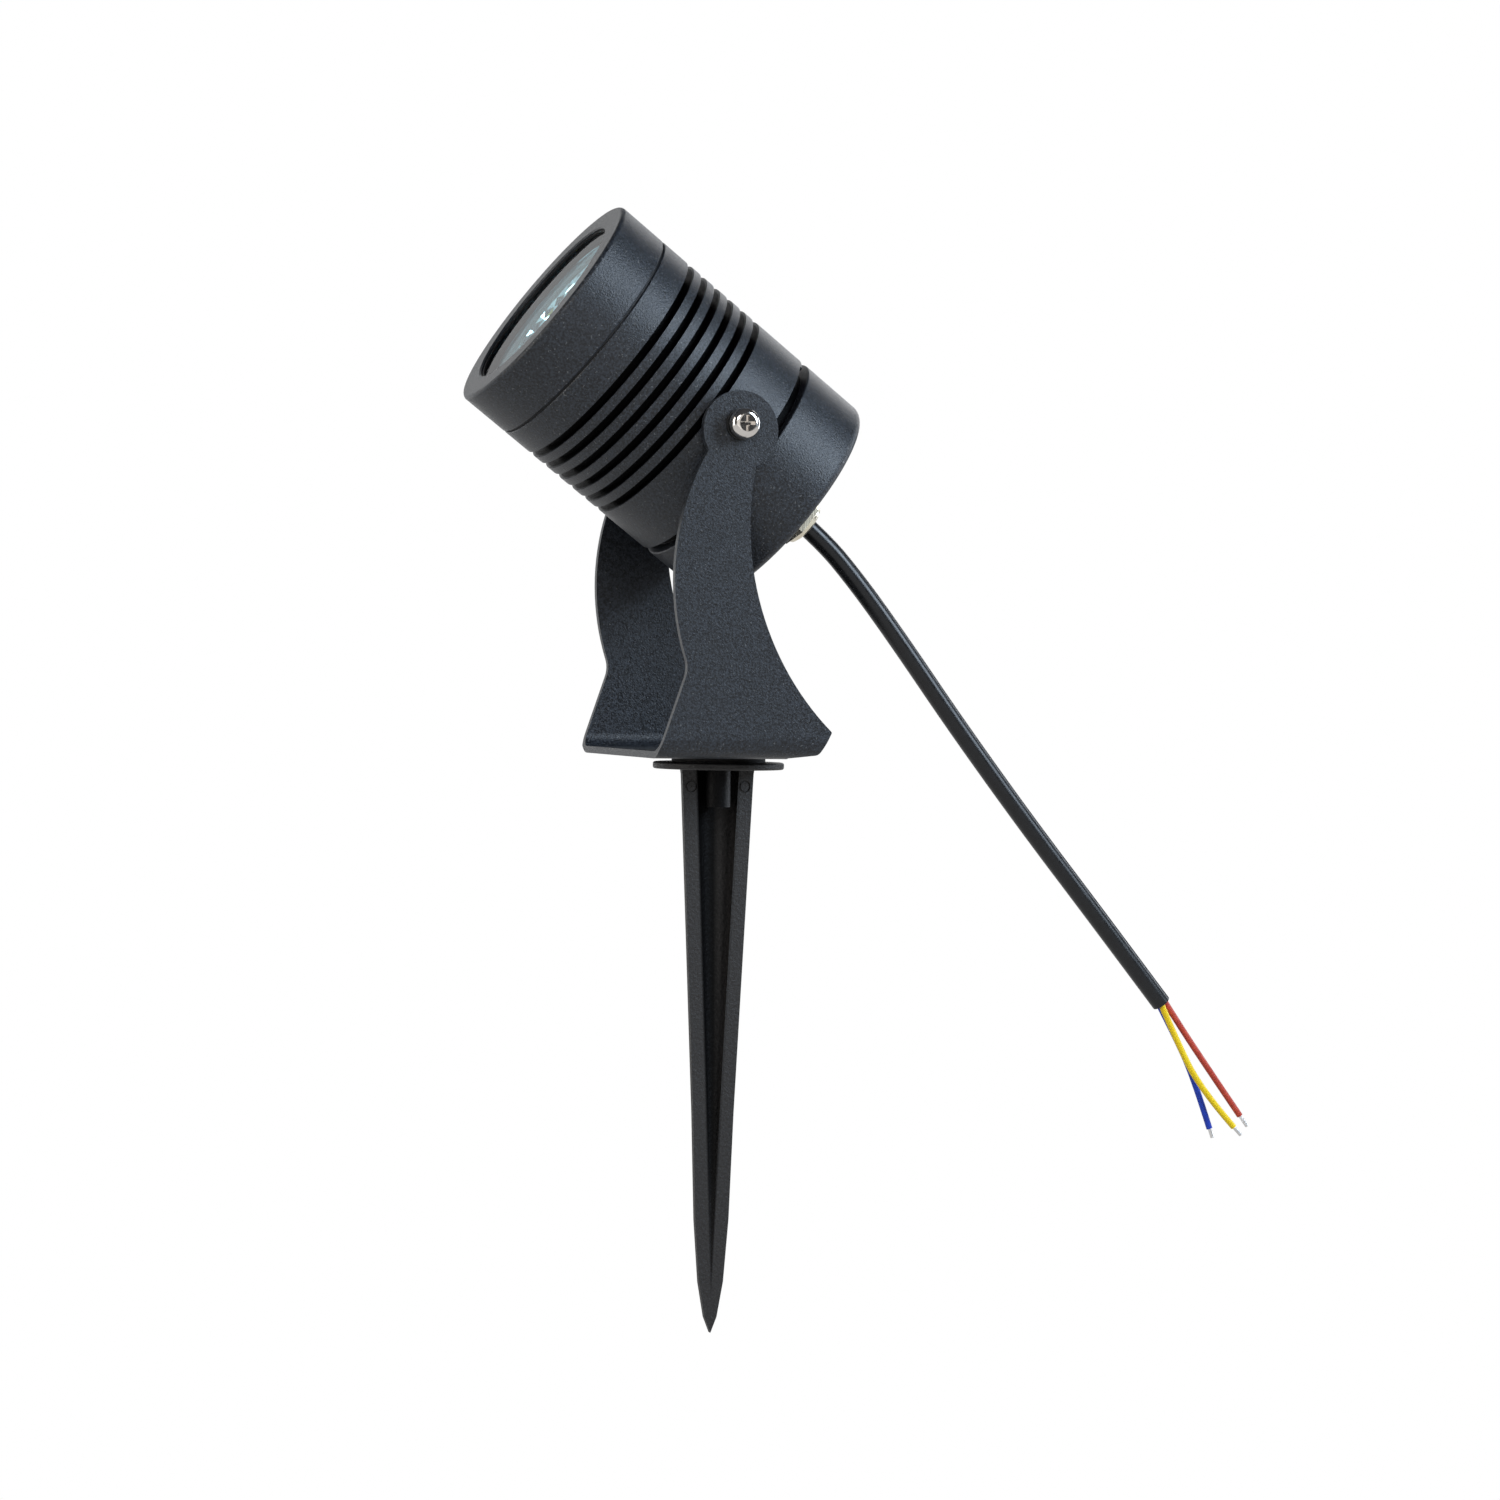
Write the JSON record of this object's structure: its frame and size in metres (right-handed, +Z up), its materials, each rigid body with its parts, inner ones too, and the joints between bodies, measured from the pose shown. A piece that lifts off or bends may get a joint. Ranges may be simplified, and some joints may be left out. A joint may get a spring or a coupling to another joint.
{
  "type": "garden spike spotlight",
  "caption": "Round finned spotlight head that tilts in a bent sheet yoke and swivels on a ground spike, with a short three-core lead from a gland at the back.",
  "frame": {"origin": "centre of the spike flange's underside, where it meets the ground", "axes": "+Z up along the spike, lamp looks towards -X and up, tilt axis along Y"},
  "size_m": [0.2499, 0.087, 0.3236],
  "materials": {
    "powder_coat": "fine-textured black powder coat on aluminium",
    "spike_plastic": "moulded black glass-filled nylon",
    "rubber": "matt black rubber",
    "bright_steel": "stainless steel",
    "dark_steel": "blackened steel",
    "nylon": "black nylon",
    "glass": "clear toughened glass",
    "mirror_metal": "faceted bright reflector",
    "board_aluminium": "white metal-core board",
    "thermal_silicone": "grey silicone",
    "phosphor": "yellow phosphor",
    "wire_white": "white insulation",
    "board_green": "green circuit board",
    "ferrite": "moulded electronic parts",
    "capacitor_skin": "dark blue sleeve",
    "nickel_brass": "nickel-plated brass",
    "lead_rubber": "satin black rubber sheath",
    "core_brown": "red-brown insulation",
    "core_blue": "blue insulation",
    "core_yellow": "yellow-green insulation",
    "tinned_copper": "tinned stranded copper"
  },
  "bodies": {
    "stake": {"ground_spike": "spike_plastic", "stake_pad": "rubber", "stake_washer": "dark_steel", "stake_spring_washer": "dark_steel", "stake_screw": "bright_steel"},
    "yoke": {"yoke_bracket": "powder_coat"},
    "head": {"tilt_washers": "dark_steel", "tilt_spring_washers": "dark_steel", "tilt_screws": "bright_steel", "friction_washers": "nylon", "front_bezel": "powder_coat", "lens_glass": "glass", "lens_gasket": "rubber", "lens_seat_ring": "rubber", "bezel_seal": "rubber", "housing": "powder_coat", "reflector": "mirror_metal", "led_board": "board_aluminium", "thermal_pad": "thermal_silicone", "led_emitter": "phosphor", "led_board_screws": "bright_steel", "led_wires": "wire_white", "driver_case": "nylon", "driver_board": "board_green", "driver_transformer": "ferrite", "driver_capacitor": "capacitor_skin", "driver_chips": "ferrite", "supply_wires": "core_brown", "rear_cap": "powder_coat", "rear_cap_oring": "rubber", "gland_gasket": "rubber", "gland_body": "nickel_brass", "gland_seal": "rubber", "gland_nut": "nickel_brass", "gland_locknut": "nickel_brass", "lead_sheath": "lead_rubber", "lead_core_brown": "core_brown", "lead_core_blue": "core_blue", "lead_core_yellow": "core_yellow", "conductor_ends": "tinned_copper"}
  },
  "joints": [
    {"name": "swivel", "type": "hinge", "parent": "stake", "child": "yoke", "pos_m": [0, 0, 0.0037], "axis": [0, 0, 1], "range_deg": [-180, 180]},
    {"name": "tilt", "type": "hinge", "parent": "yoke", "child": "head", "pos_m": [-0.0079, 0, 0.0967], "axis": [0, 1, 0], "range_deg": [-67, 25]}
  ]
}
